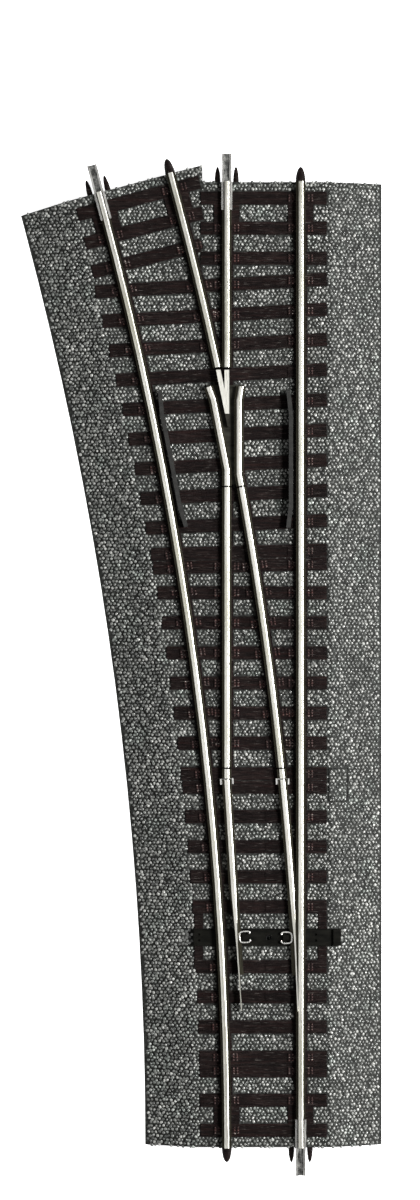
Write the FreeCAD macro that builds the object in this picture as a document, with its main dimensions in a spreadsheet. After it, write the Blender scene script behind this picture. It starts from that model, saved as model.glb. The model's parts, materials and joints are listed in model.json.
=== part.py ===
"""Left-hand model railway turnout on a ballasted bed, 16.5 mm gauge.

The frame: the origin is under the middle of the toe end, +Y runs along the straight route
towards the heel, +X is to the right and +Z is up. The curved route bends towards -X about
a centre at (-routeRadius, 0). All lengths are in millimetres, all angles in degrees.
"""
import FreeCAD, Part
import math
import os
import Sketcher

DOC = FreeCAD.newDocument("turnout")
SHEET = DOC.addObject("Spreadsheet::Sheet", "sizes")

SIZES = (
    ("straightLength", 230.0, "straight route over its rail ends"),
    ("routeRadius", 873.5, "radius of the curved route at its centreline"),
    ("routeAngle", 15.0, "angle between the two routes"),
    ("legExtra", 3.8, "straight stretch after the arc of the curved route"),
    ("gauge", 16.5, "between the inner faces of two running rails"),
    ("headWidth", 1.1, "rail head width"),
    ("headDepth", 0.65, "rail head height"),
    ("crownWidth", 0.24, "width of the sloped corners of the rail head"),
    ("crownDrop", 0.12, "height of the sloped corners of the rail head"),
    ("webWidth", 0.6, "rail web thickness"),
    ("footWidth", 2.2, "rail foot width"),
    ("footDepth", 0.35, "rail foot height"),
    ("railHeight", 2.1, "rail height over foot and head"),
    ("railBase", 6.2, "underside of the rail foot above the table"),
    ("bedHeight", 5.6, "top of the ballast above the table"),
    ("bedHalf", 28.3, "half width of the bed at its base"),
    ("crestHalf", 16.2, "half width of the bed at its flat top"),
    ("legSplit", 14.65, "distance of the seam between the two heel legs from the straight centreline"),
    ("bedWall", 2.4, "thickness of the moulded bed at its ends"),
    ("bedSkirt", 2.88, "thickness of the moulded bed at the foot of its shoulders"),
    ("hollowDepth", 3.0, "depth of the hollow under the bed"),
    ("ribWidth", 1.6, "width of a stiffening rib in the hollow"),
    ("ribPitch", 28.5, "distance between stiffening ribs"),
    ("sleeperWidth", 3.1, "width of one sleeper"),
    ("sleeperHalf", 15.0, "half length of one sleeper"),
    ("sleeperPitch", 7.165, "distance between sleepers"),
    ("pairGap", 0.1, "gap between the two sleepers of a pair"),
    ("toeRowY", 4.05, "first sleeper of the toe row"),
    ("tipRowY", 28.7, "first sleeper of the row at the blade tips"),
    ("bladeRowY", 57.3, "first sleeper of the row under the blades"),
    ("closureRowY", 96.3, "first sleeper of the row behind the hinges"),
    ("fanRowY", 148.7, "first sleeper of the fanned row at the frog"),
    ("toePairY", 19.85, "middle of the sleeper pair near the toe"),
    ("hingePairY", 87.4, "middle of the sleeper pair under the hinges"),
    ("slantPairY", 140.3, "middle of the slanted sleeper pair before the frog"),
    ("pairTurn", 1.5, "slant of the sleeper pair before the frog"),
    ("fanTurn", 2.5, "slant of the first fanned sleeper"),
    ("fanTurnStep", 0.08, "extra slant from one fanned sleeper to the next"),
    ("legClipSecond", 1.2, "length missing from the second sleeper of the curved leg"),
    ("legClipThird", 3.6, "length missing from the third sleeper of the curved leg"),
    ("sleeperTop", 6.0, "top of a sleeper above the table"),
    ("sleeperBottom", 4.0, "underside of a sleeper above the table"),
    ("webTop", 5.75, "top of the tie strips under the rails"),
    ("tieStrip", 3.0, "width of the tie strips under the rails"),
    ("endPlate", 6.0, "width of the plates between the first two sleepers of each end"),
    ("endInset", 3.85, "centre of the last sleeper from the rail ends"),
    ("chairLength", 6.2, "length of a tie plate along its sleeper"),
    ("chairWidth", 2.0, "width of a tie plate"),
    ("chairShort", 1.35, "reach of a tie plate on the blade side of a stock rail"),
    ("chairGap", 0.1, "least gap between two tie plates of one sleeper"),
    ("cheekLength", 0.6, "length of a rail clip across the rail"),
    ("cheekWidth", 1.2, "width of a rail clip along the rail"),
    ("cheekHeight", 0.55, "height of a rail clip above the rail base"),
    ("cheekGap", 0.02, "gap between a rail clip and the rail foot"),
    ("slideTop", 6.17, "top of the slide plates under the blades"),
    ("slideLength", 7.0, "length of a slide plate along its sleeper"),
    ("slideGap", 0.05, "gap between a slide plate and a tie plate"),
    ("hingeY", 87.2, "distance of the blade hinges from the toe end"),
    ("bladeTipY", 32.6, "distance of the blade tips from the toe end"),
    ("bladeHeelY", 87.7, "distance of the blade heels from the toe end"),
    ("bladeOpen", 3.6, "angle between the open and the closed blade"),
    ("bladeGap", 0.05, "gap between a closed blade and its stock rail"),
    ("bladeTipWidth", 0.2, "width of a blade at its tip"),
    ("bladePlanedY", 60.8, "where the head of a blade starts to taper"),
    ("bladeThinY", 48.0, "where the first, steeper taper of a blade ends"),
    ("bladeThinWidth", 0.32, "width of a blade where its first taper ends"),
    ("bladeGaugeCut", 0.4, "how much of its gauge side a blade has lost there"),
    ("bladeFootY", 41.0, "toe end of the foot of a blade"),
    ("heelGap", 0.3, "gap between a blade and its heel stub"),
    ("insulatorGap", 0.35, "gap between two rails that an insulating piece fills"),
    ("insulatorWidth", 0.336, "thickness of an insulating piece"),
    ("hingeGapY", 90.4, "first insulating gap from the toe end"),
    ("frogToeY", 157.4, "insulating gap before the frog"),
    ("frogHeelY", 185.6, "insulating gap after the frog"),
    ("noseY", 174.7, "blunt nose of the frog point"),
    ("noseRampY", 171.5, "start of the ramp in front of the nose"),
    ("noseRampDrop", 0.5, "height of the rails above that ramp"),
    ("floorToeInset", 0.6, "frog floor from the insulating gap"),
    ("floorHeelReach", 0.4, "frog floor beyond the wing rail tips"),
    ("wingX", 5.9, "distance of the right wing rail from the straight centreline"),
    ("wingBendY", 161.5, "bend of the left wing rail"),
    ("wingAngle", 11.0, "angle of the left wing rail"),
    ("wingFlareY", 178.0, "start of the flared wing rail tips"),
    ("wingEndY", 181.2, "end of the wing rails"),
    ("flareAngle", 9.0, "extra angle of flared rail tips"),
    ("guardOffset", 2.35, "guard rail centre from the stock rail centre"),
    ("guardWidth", 1.0, "guard rail width"),
    ("guardToeY", 147.6, "toe end of the guard rails"),
    ("guardHeelY", 180.2, "heel end of the guard rails"),
    ("guardFlare", 5.5, "length of a flared guard rail end"),
    ("guardFlareAngle", 6.5, "angle of a flared guard rail end"),
    ("barY", 50.0, "centreline of the throwbar"),
    ("barWidth", 3.9, "width of the throwbar"),
    ("barLength", 35.1, "length of the throwbar"),
    ("barLeftX", 16.7, "left end of the throwbar from the straight centreline"),
    ("barBottom", 4.3, "underside of the throwbar above the table"),
    ("barTop", 5.9, "top of the throwbar above the table"),
    ("barPlay", 0.1, "gap between the throwbar and its channel"),
    ("barSide", 2.0, "width of the strips that guide the throwbar"),
    ("gripInset", 1.8, "hand grip of the throwbar from its right end"),
    ("gripWidth", 0.8, "width of the hand grip and of the notch before it"),
    ("gripHeight", 0.35, "height of the hand grip"),
    ("notchInset", 2.7, "notch of the throwbar from its right end"),
    ("notchDepth", 0.4, "depth of that notch"),
    ("channelLeftX", 20.4, "left end of the throwbar channel"),
    ("barMark", 0.3, "radius of the four small marks in the throwbar"),
    ("barMarkDepth", 0.5, "depth of those marks"),
    ("barMarkHalf", 0.7, "half the distance between the two marks of a pair"),
    ("barMarkLeftX", 15.4, "left pair of marks from the straight centreline"),
    ("barMarkRightX", 12.4, "right pair of marks from the straight centreline"),
    ("driveX", 1.17, "drive hole from the straight centreline with the throwbar to the right"),
    ("driveRadius", 0.6, "radius of the drive hole"),
    ("driveSlotHalf", 2.925, "half length of the slot under the drive hole"),
    ("driveSlotWidth", 1.92, "width of the slot under the drive hole"),
    ("bossStart", 1.3, "near face of a drive boss from the blade centre"),
    ("bossEnd", 2.75, "far face of a drive boss from the blade centre"),
    ("bossWidth", 1.3, "width of a drive boss along the track"),
    ("bossShift", 0.05, "drive bosses from the centreline of the throwbar"),
    ("bossTop", 6.95, "top of a drive boss above the table"),
    ("clipStart", 0.4, "near face of a drive clip from the blade centre"),
    ("clipInner", 1.1, "inner face of a drive clip from the blade centre"),
    ("clipEnd", 3.35, "end of the drive clip arms from the blade centre"),
    ("clipHalfGap", 1.0, "half the space between the drive clip arms"),
    ("clipArm", 0.55, "width of a drive clip arm"),
    ("clipHook", 0.4, "inward reach of the drive clip hooks"),
    ("clipHookWidth", 0.4, "width of the drive clip hooks"),
    ("clipThickness", 0.35, "thickness of a drive clip"),
    ("pivotHalf", 1.6, "half width of a hinge saddle"),
    ("pivotLength", 1.4, "length of a hinge saddle along the blade"),
    ("pivotPinRadius", 0.45, "radius of a hinge pin"),
    ("pivotBore", 0.5, "radius of a hinge pin's hole"),
    ("pivotPinBottom", 4.2, "lower end of a hinge pin above the table"),
    ("saddleWall", 0.3, "thickness of the ears of a hinge saddle"),
    ("saddleGap", 0.02, "gap between a hinge saddle and its sleeper"),
    ("earRise", 0.5, "height of the ears above the underside of the saddle and the foot"),
    ("joinerLength", 13.4, "length of a rail joiner"),
    ("joinerWidth", 2.6, "width of a rail joiner where a rail is in it"),
    ("joinerFree", 2.3, "width of a rail joiner where it is empty"),
    ("joinerWall", 0.2, "sheet thickness of a rail joiner"),
    ("joinerLipWall", 0.18, "sheet thickness of the lips of a rail joiner"),
    ("joinerHeight", 0.75, "height of a rail joiner"),
    ("joinerLip", 0.5, "inward reach of the lips of a rail joiner"),
    ("coneLength", 3.7, "length of an alignment cone"),
    ("coneRadius", 1.2, "radius of a large alignment cone at its root"),
    ("smallConeRadius", 0.7, "radius of a small alignment cone at its root"),
    ("coneRootTop", 5.2, "top of the blocks that carry the alignment cones"),
    ("smallConeOffset", 2.2, "small alignment cone from the rail centre"),
    ("coneAxis", 4.75, "height of the alignment cones above the table"),
    ("hatchLeft", 15.5, "left edge of the hatch from the straight centreline"),
    ("hatchRight", 19.9, "right edge of the hatch from the straight centreline"),
    ("hatchToeY", 82.4, "toe edge of the hatch"),
    ("hatchHeelY", 90.2, "heel edge of the hatch"),
    ("hatchThickness", 1.2, "thickness of the hatch"),
    ("hatchProud", 0.15, "height of the hatch above the bed"),
    ("hatchGap", 0.1, "gap round the hatch"),
    ("linkY", 93.6, "contact strips from the toe end"),
    ("linkWidth", 1.6, "width of a contact strip"),
    ("linkThickness", 0.25, "thickness of a contact strip"),
    ("linkPin", 0.4, "radius of a contact pin"),
    ("linkBore", 0.45, "radius of a contact pin's hole"),
    ("frogLinkY", 180.0, "contact pin of the frog from the toe end"),
    ("frogLinkShift", 0.6, "contact pin of the frog from the inner rail of the straight route"),
    ("frogLinkLength", 6.0, "reach of the frog's contact strip from its pin"),
)

for row, (alias, number, note) in enumerate(SIZES, start=1):
    SHEET.set(f"A{row}", note)
    SHEET.set(f"B{row}", str(number))
    SHEET.setAlias(f"B{row}", alias)
DOC.recompute()


def short(text):
    """Expand @alias into a full reference to the sheet."""
    return text.replace("@", "sizes.")


RAIL = "(@gauge + @headWidth) / 2"
GAUGE_FACE = "@gauge / 2"
RAIL_TOP = "@railBase + @railHeight"
FOOT_TOP = "@railBase + @footDepth"
HEAD_BASE = "@railBase + @railHeight - @headDepth"
LEG_ANGLE = "@routeAngle"
LEG_CLIPS = ("0", "@legClipSecond", "@legClipThird")
FAN_SLEEPERS = 9
BED_RIBS = 7


def value(text):
    """Return the number that an expression gives now."""
    result = SHEET.evalExpression(short(text))
    return float(getattr(result, "Value", result))


def bind(item, **bindings):
    """Bind properties of an object; a double underscore stands for a dot."""
    for name, text in bindings.items():
        item.setExpression(name.replace("__", "."), short(str(text)))
    return item


def place(item, x="0", y="0", z="0", turn="0"):
    """Bind the place of an object and its turn about the vertical."""
    item.Placement = FreeCAD.Placement(FreeCAD.Vector(), FreeCAD.Rotation(FreeCAD.Vector(0, 0, 1), 1.0))
    return bind(item, Placement__Base__x=x, Placement__Base__y=y, Placement__Base__z=z,
                Placement__Rotation__Angle=turn)


def arc_x(radius_offset, y):
    """Expression for x where a line parallel to the curved route passes a given y."""
    return f"(sqrt((@routeRadius + {radius_offset})^2 - ({y})^2) - @routeRadius)"


def arc_turn(radius_offset, y):
    """Expression for the turn of that line there."""
    return f"(asin(({y}) / (@routeRadius + {radius_offset})) / 1 deg)"


def box(name, x, y, z, size, turn="0"):
    """A box from its corner (x, y, z) with size (length, width, height)."""
    item = place(DOC.addObject("Part::Box", name), x, y, z, turn)
    return bind(item, Length=size[0], Width=size[1], Height=size[2])


def post(name, x, y, z, radius, height):
    """An upright cylinder."""
    item = place(DOC.addObject("Part::Cylinder", name), x, y, z)
    return bind(item, Radius=radius, Height=height)


def fuse(name, items):
    """Join objects into one solid."""
    item = DOC.addObject("Part::MultiFuse", name)
    item.Shapes = items
    item.Refine = True
    return item


def cut(name, base, tool):
    """Take a tool away from a base."""
    item = DOC.addObject("Part::Cut", name)
    item.Base = base
    item.Tool = tool
    return item


def group(name, items):
    """Keep separate solids together in one object."""
    item = DOC.addObject("Part::Compound", name)
    item.Links = items
    return item


def arc_band(name, inner, outer, z, height, start="0", sweep="@routeAngle"):
    """A band that follows the curved route between two distances from its centreline."""
    discs = []
    for end, offset, extra in (("outer", outer, "0"), ("inner", inner, "1")):
        disc = DOC.addObject("Part::Cylinder", f"{name}_{end}")
        place(disc, "-@routeRadius", "0", f"{z} - {extra}", f"({start}) - {extra}")
        bind(disc, Radius=f"@routeRadius + {offset}", Height=f"{height} + 2 * {extra}",
             Angle=f"({sweep}) + 2 * {extra}")
        discs.append(disc)
    return cut(name, discs[0], discs[1])


def outline(body, role, corners):
    """Add a closed sketch on an origin plane; its corners are pairs of expressions."""
    sketch = body.newObject("Sketcher::SketchObject", f"{body.Name}_sketch")
    plane = next(item for item in body.Origin.OriginFeatures if item.Role == role)
    sketch.AttachmentSupport = (plane, [""])
    sketch.MapMode = "FlatFace"
    points = [FreeCAD.Vector(value(x), value(y), 0) for x, y in corners]
    count = len(points)
    for index, point in enumerate(points):
        sketch.addGeometry(Part.LineSegment(point, points[(index + 1) % count]), False)
    for index in range(count):
        sketch.addConstraint(Sketcher.Constraint("Coincident", index, 2, (index + 1) % count, 1))
    for index, corner in enumerate(corners):
        for kind, text in zip(("DistanceX", "DistanceY"), corner):
            number = sketch.addConstraint(Sketcher.Constraint(kind, -1, 1, index, 1, value(text)))
            sketch.setExpression(f"Constraints[{number}]", short(text))
    return sketch


def prism(name, role, corners, length, reverse=False):
    """A body made by extruding one outline."""
    body = DOC.addObject("PartDesign::Body", name)
    sketch = outline(body, role, corners)
    pad = body.newObject("PartDesign::Pad", f"{name}_pad")
    pad.Profile = sketch
    pad.Reversed = reverse
    bind(pad, Length=length)
    sketch.Visibility = False
    return body


def rail_corners(centre):
    """The rail section: foot, web and head, about a centre distance."""
    half = (("@footWidth", "@railBase"), ("@footWidth", FOOT_TOP), ("@webWidth", FOOT_TOP),
            ("@webWidth", HEAD_BASE), ("@headWidth", HEAD_BASE),
            ("@headWidth", f"{RAIL_TOP} - @crownDrop"), ("(@headWidth - 2 * @crownWidth)", RAIL_TOP))
    right = [(f"({centre}) + {width} / 2", z) for width, z in half]
    left = [(f"({centre}) - {width} / 2", z) for width, z in reversed(half)]
    return right + left


def bar_corners(width, bottom, top):
    """A plain rectangular section."""
    return [(f"-{width} / 2", bottom), (f"{width} / 2", bottom),
            (f"{width} / 2", top), (f"-{width} / 2", top)]


def rail_bar(name, x, y, length, turn="0"):
    """A straight rail that starts at (x, y)."""
    body = prism(name, "XZ_Plane", rail_corners("0"), length, True)
    return place(body, x, y, "0", turn)


def rail_arc(name, offset, start, sweep):
    """A rail that follows the curved route at a distance from its centreline."""
    body = DOC.addObject("PartDesign::Body", name)
    sketch = outline(body, "XZ_Plane", rail_corners(f"@routeRadius + {offset}"))
    turned = body.newObject("PartDesign::Revolution", f"{name}_turned")
    turned.Profile = sketch
    turned.ReferenceAxis = (sketch, ["V_Axis"])
    bind(turned, Angle=sweep)
    sketch.Visibility = False
    return place(body, "-@routeRadius", "0", "0", start)


def leg_end(offset):
    """Where a line parallel to the curved route ends its arc."""
    radius = f"(@routeRadius + {offset})"
    return f"{radius} * cos({LEG_ANGLE}) - @routeRadius", f"{radius} * sin({LEG_ANGLE})"


def leg_rail(name, offset, start):
    """A curved rail with its straight stretch at the heel."""
    arc = rail_arc(f"{name}_arc", offset, start, f"{LEG_ANGLE} - ({start})")
    x, y = leg_end(offset)
    bar = rail_bar(f"{name}_bar", x, y, "@legExtra", LEG_ANGLE)
    return fuse(name, [arc, bar])


def stock_rails():
    """The two outer running rails, whole from end to end."""
    rail_bar("stock_rail_straight", RAIL, "0", "@straightLength")
    leg_rail("stock_rail_curved", f"(-{RAIL})", "0")


def closure_rails():
    """The inner rails between the blades and the frog, and the stubs behind the blades."""
    half_gap = "@insulatorGap / 2"
    starts = {"closure_rail": f"@hingeGapY + {half_gap}", "heel_stub": "@bladeHeelY + @heelGap"}
    ends = {"closure_rail": f"@frogToeY - {half_gap}", "heel_stub": f"@hingeGapY - {half_gap}"}
    for name, start in starts.items():
        end = ends[name]
        rail_bar(f"{name}_straight", f"-{RAIL}", start, f"{end} - ({start})")
        first = arc_turn(RAIL, start)
        rail_arc(f"{name}_curved", RAIL, first, f"{arc_turn(RAIL, end)} - {first}")


def heel_rails():
    """The inner rails behind the frog."""
    start = "@frogHeelY + @insulatorGap / 2"
    rail_bar("heel_rail_straight", f"-{RAIL}", start, f"@straightLength - ({start})")
    leg_rail("heel_rail_curved", RAIL, arc_turn(RAIL, start))


def swing(item):
    """Turn a piece of the left blade about its hinge from closed to open."""
    side = f"(-{RAIL})"
    x = f"{side} - ({side} * cos(@bladeOpen) - @hingeY * sin(@bladeOpen))"
    y = f"@hingeY - ({side} * sin(@bladeOpen) + @hingeY * cos(@bladeOpen))"
    return place(item, x, y, "0", "@bladeOpen")


def plane_wedge(name, low, high, side, overrun="0"):
    """A wedge beside a line from low to high, as (x, y); side is +1 where it lies on the right."""
    (low_x, low_y), (high_x, high_y) = low, high
    turn = f"atan(({high_x} - ({low_x})) / ({high_y} - {low_y})) / 1 deg"
    across = "0" if side > 0 else "@footWidth"
    x = f"{low_x} - {across} * cos(-({turn})) - {overrun} * sin({turn})"
    y = f"{low_y} - {across} * sin(-({turn})) - {overrun} * cos({turn})"
    size = ("@footWidth", f"({high_y} - {low_y}) / cos({turn}) + {overrun}", "@railHeight")
    return box(name, x, y, FOOT_TOP, size, f"-({turn})")


def point_tools():
    """What is planed off each blade towards its tip: both sides of its head, and its foot."""
    rows = ("@bladeTipY", "@bladeThinY", "@bladePlanedY")
    stock = f"{arc_x(f'(-{GAUGE_FACE})', '@bladeTipY')} + @bladeGap"
    thin = f"(-{GAUGE_FACE} - @bladeGaugeCut)"
    left_gauge = (f"({stock} + @bladeTipWidth)", thin, f"(-{GAUGE_FACE})")
    left_stock = (f"({stock})", f"({thin} - @bladeThinWidth)", f"(-{GAUGE_FACE} - @headWidth)")
    stock = f"({GAUGE_FACE} - @bladeGap)"
    thin = f"({arc_x(GAUGE_FACE, '@bladeThinY')} + @bladeGaugeCut)"
    wide = arc_x(GAUGE_FACE, "@bladePlanedY")
    right_gauge = (f"({stock} - @bladeTipWidth)", thin, wide)
    right_stock = (stock, f"({thin} + @bladeThinWidth)", f"({wide} + @headWidth)")
    foot_size = ("@footWidth * 2", "@bladeFootY - @bladeTipY + 1", "@footDepth")
    tools = {}
    for name, gauge, against, side in (("straight", left_gauge, left_stock, 1),
                                       ("curved", right_gauge, right_stock, -1)):
        cuts = [box(f"plane_foot_{name}", f"{-side} * {GAUGE_FACE} - @footWidth", "@bladeTipY - 1",
                    "@railBase", foot_size)]
        for face, line, out in (("gauge", gauge, side), ("stock", against, -side)):
            tip, thin_end, wide_end = zip(line, rows)
            cuts.append(plane_wedge(f"plane_{face}_{name}_tip", tip, thin_end, out, "1"))
            cuts.append(plane_wedge(f"plane_{face}_{name}", thin_end, wide_end, out))
        tools[name] = cuts
    return tools


def blades():
    """The two switch blades, each ground away where it closes on its stock rail."""
    grind_sweep = "@routeAngle / 2"
    half_foot = "@footWidth / 2"
    length = "@bladeHeelY - @bladeTipY"
    head_cut = ("@bladeGap", f"(-{GAUGE_FACE})", GAUGE_FACE, FOOT_TOP)
    foot_cut = ("@bladeGap", f"(-{RAIL} + {half_foot})", f"{RAIL} - {half_foot}", "@railBase")
    grinders = point_tools()
    for part, (gap, left, right, bottom) in (("head", head_cut), ("foot", foot_cut)):
        reach = "@railHeight" if part == "head" else "@footDepth"
        disc = DOC.addObject("Part::Cylinder", f"grind_left_{part}")
        place(disc, "-@routeRadius", "0", bottom, "0")
        bind(disc, Radius=f"@routeRadius + {left} + {gap}", Height=reach, Angle=grind_sweep)
        grinders["straight"].append(disc)
        slab = box(f"grind_right_{part}", f"{right} - {gap}", "0", bottom,
                   ("@footWidth * 2", "@hingeY", reach))
        grinders["curved"].append(slab)
    left = rail_bar("blade_left_bar", f"-{RAIL}", "@bladeTipY", length)
    swing(cut("switch_blade_straight", left, fuse("grind_left", grinders["straight"])))
    first = arc_turn(RAIL, "@bladeTipY")
    right = rail_arc("blade_right_arc", RAIL, first, f"{arc_turn(RAIL, '@bladeHeelY')} - {first}")
    cut("switch_blade_curved", right, fuse("grind_right", grinders["curved"]))


def drive_clip(name, centre, side):
    """A C-shaped clip on the blade foot that takes a boss of the throwbar between its arms."""
    def across(name_end, start, end, y, width):
        low = start if side > 0 else end
        corner = f"{centre} + {side} * ({low})"
        size = (f"{end} - ({start})", width, "@clipThickness")
        return box(f"{name}_{name_end}", corner, y, FOOT_TOP, size)

    reach = "@clipHalfGap + @clipArm"
    pieces = [across("back", "@clipStart", "@clipInner", f"@barY - ({reach})", f"2 * ({reach})")]
    for end, arm_y, hook_y in (("toe", f"@barY - ({reach})", "@barY - @clipHalfGap"),
                               ("heel", "@barY + @clipHalfGap", "@barY + @clipHalfGap - @clipHook")):
        pieces.append(across(f"{end}_arm", "@clipStart", "@clipEnd", arm_y, "@clipArm"))
        pieces.append(across(f"{end}_hook", "@clipEnd - @clipHookWidth", "@clipEnd", hook_y,
                             "@clipHook"))
    return fuse(name, pieces)


def hinge_saddle(name, x, turn="0"):
    """A sheet saddle under the blade foot with ears and a pin that turns in the sleeper."""
    plate_height = "@railBase - @sleeperTop - @saddleGap"
    bottom = "@sleeperTop + @saddleGap"
    start = "@hingeY - @pivotLength / 2"
    plate = box(f"{name}_plate", f"{x} - @pivotHalf", start, bottom,
                ("2 * @pivotHalf", "@pivotLength", plate_height))
    pin = post(f"{name}_pin", x, "@hingeY", "@pivotPinBottom", "@pivotPinRadius",
               f"{bottom} - @pivotPinBottom")
    ears = []
    for side, corner in (("left", f"{x} - @pivotHalf"), ("right", f"{x} + @pivotHalf - @saddleWall")):
        ears.append(box(f"{name}_{side}_ear", corner, start, bottom,
                        ("@saddleWall", "@pivotLength", "@footDepth + @earRise")))
    return fuse(name, [plate, pin] + ears)


def blade_fittings():
    """Drive clips and hinge saddles; the left ones turn with the open left blade."""
    right_centre = arc_x(RAIL, "@barY")
    swing(drive_clip("drive_clip_straight", f"(-{RAIL})", 1))
    drive_clip("drive_clip_curved", right_centre, -1)
    swing(hinge_saddle("hinge_saddle_straight", f"(-{RAIL})"))
    hinge_saddle("hinge_saddle_curved", arc_x(RAIL, "@hingeY"))


def throwbar():
    """The sliding bar with a boss for each drive clip, a hand grip and a drive hole."""
    start = "@barY - @barWidth / 2"
    depth = "@barTop - @barBottom"
    bar = box("bar_body", "-@barLeftX", start, "@barBottom", ("@barLength", "@barWidth", depth))
    left_centre = f"(-{RAIL} + (@hingeY - @barY) * sin(@bladeOpen))"
    right_centre = arc_x(RAIL, "@barY")
    pieces = [bar]
    boss_size = ("@bossEnd - @bossStart", "@bossWidth", "@bossTop - @barBottom")
    boss_y = "@barY + @bossShift - @bossWidth / 2"
    pieces.append(box("boss_left", f"{left_centre} + @bossStart", boss_y, "@barBottom", boss_size))
    pieces.append(box("boss_right", f"{right_centre} - @bossEnd", boss_y, "@barBottom", boss_size))
    end_x = "@barLength - @barLeftX"
    pieces.append(box("bar_grip", f"{end_x} - @gripInset", start, "@barTop",
                      ("@gripWidth", "@barWidth", "@gripHeight")))
    whole = fuse("bar_whole", pieces)
    hole = post("bar_hole", "@driveX", "@barY", "@barBottom - 1", "@driveRadius", f"{depth} + 2")
    notch = box("bar_notch", f"{end_x} - @notchInset", f"{start} - 1", "@barTop - @notchDepth",
                ("@gripWidth", "@barWidth + 2", "1"))
    marks = []
    for side, x in (("left", "-@barMarkLeftX"), ("right", "@barMarkRightX")):
        for end in (-1, 1):
            marks.append(post(f"bar_mark_{side}_{end + 1}", x, f"@barY + {end} * @barMarkHalf",
                              "@barTop - @barMarkDepth", "@barMark", "1"))
    cut("throwbar", whole, fuse("bar_cuts", [hole, notch] + marks))


def wing_rails():
    """The two bent rails beside the frog point, each with a flared tip."""
    start = "@frogToeY + @insulatorGap / 2"
    lap = "0.15"
    straight = rail_bar("wing_left_toe", f"-{RAIL}", start, f"@wingBendY - ({start}) + {lap}")
    middle_length = "(@wingFlareY - @wingBendY) / cos(@wingAngle)"
    middle = rail_bar("wing_left_middle", f"-{RAIL}", "@wingBendY", f"{middle_length} + {lap}",
                      "@wingAngle")
    tip_x = f"-{RAIL} - (@wingFlareY - @wingBendY) * tan(@wingAngle)"
    tip_length = "(@wingEndY - @wingFlareY) / cos(@wingAngle)"
    tip = rail_bar("wing_left_tip", tip_x, "@wingFlareY", tip_length, "@wingAngle + @flareAngle")
    fuse("wing_rail_left", [straight, middle, tip])
    radius = f"(@routeRadius + {RAIL})"
    bend_y = f"sqrt({radius}^2 - (@routeRadius - @wingX)^2)"
    first = arc_turn(RAIL, start)
    toe = rail_arc("wing_right_toe", RAIL, first, f"{arc_turn(RAIL, bend_y)} - {first}")
    middle = rail_bar("wing_right_middle", "-@wingX", f"{bend_y} - {lap}",
                      f"@wingFlareY - {bend_y} + 2 * {lap}")
    tip = rail_bar("wing_right_tip", "-@wingX", "@wingFlareY", "@wingEndY - @wingFlareY",
                   "-@flareAngle")
    fuse("wing_rail_right", [toe, middle, tip])


def frog_point():
    """The solid V between the two routes, split where its two legs part."""
    face = f"-{GAUGE_FACE}"
    heel = "(@frogHeelY - @insulatorGap / 2 - @footWidth / 2 * tan(@routeAngle))"
    route_face = arc_x(GAUGE_FACE, heel)
    slope = f"(({face} - ({route_face})) - ({face} - ({arc_x(GAUGE_FACE, '@noseY')})))"
    split_y = f"{heel} - (({face} - ({route_face})) - 2 * @headWidth) * ({heel} - @noseY) / {slope}"
    corners = [(face, "@noseY"), (face, heel), (f"{face} - @headWidth", heel),
               (f"{face} - @headWidth", split_y),
               (f"{route_face} + @headWidth", heel), (route_face, heel),
               (arc_x(GAUGE_FACE, "@noseY"), "@noseY")]
    body = prism("frog_point", "XY_Plane", corners, "@railHeight")
    place(body, "0", "0", "@railBase")


def frog_floor():
    """The plastic floor of the frog with the ramp in front of its point."""
    toe = "@frogToeY + @floorToeInset"
    end = "@wingEndY + @floorHeelReach"
    inner_right = "-@wingX + @footWidth / 2"
    corners = [(inner_right, toe), (inner_right, end),
               (f"-{RAIL} - (@wingEndY - @wingBendY) * tan(@wingAngle) - @footWidth / 2", end),
               (f"-{RAIL} - @footWidth / 2", "@wingBendY"), (f"-{RAIL} - @footWidth / 2", toe)]
    floor = prism("frog_floor_sheet", "XY_Plane", corners, "@railBase - @sleeperTop")
    place(floor, "0", "0", "@sleeperTop")
    name, x, y = contact_places()[-1]
    cut("frog_floor_plate", floor, post("frog_floor_hole", x, y, "@sleeperTop - 1", "@linkBore", "3"))
    face = f"-{GAUGE_FACE}"
    nose = [(face, "@noseRampY"), (face, "@noseY"), (arc_x(GAUGE_FACE, "@noseY"), "@noseY"),
            (arc_x(GAUGE_FACE, "@noseRampY"), "@noseRampY")]
    ramp = prism("frog_nose_ramp", "XY_Plane", nose, "@railHeight - @noseRampDrop")
    place(ramp, "0", "0", "@railBase")


def guard_bar(name, x, y, length, turn="0"):
    """A straight piece of guard rail."""
    body = prism(name, "XZ_Plane", bar_corners("@guardWidth", "@railBase", RAIL_TOP), length, True)
    return place(body, x, y, "0", turn)


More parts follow.
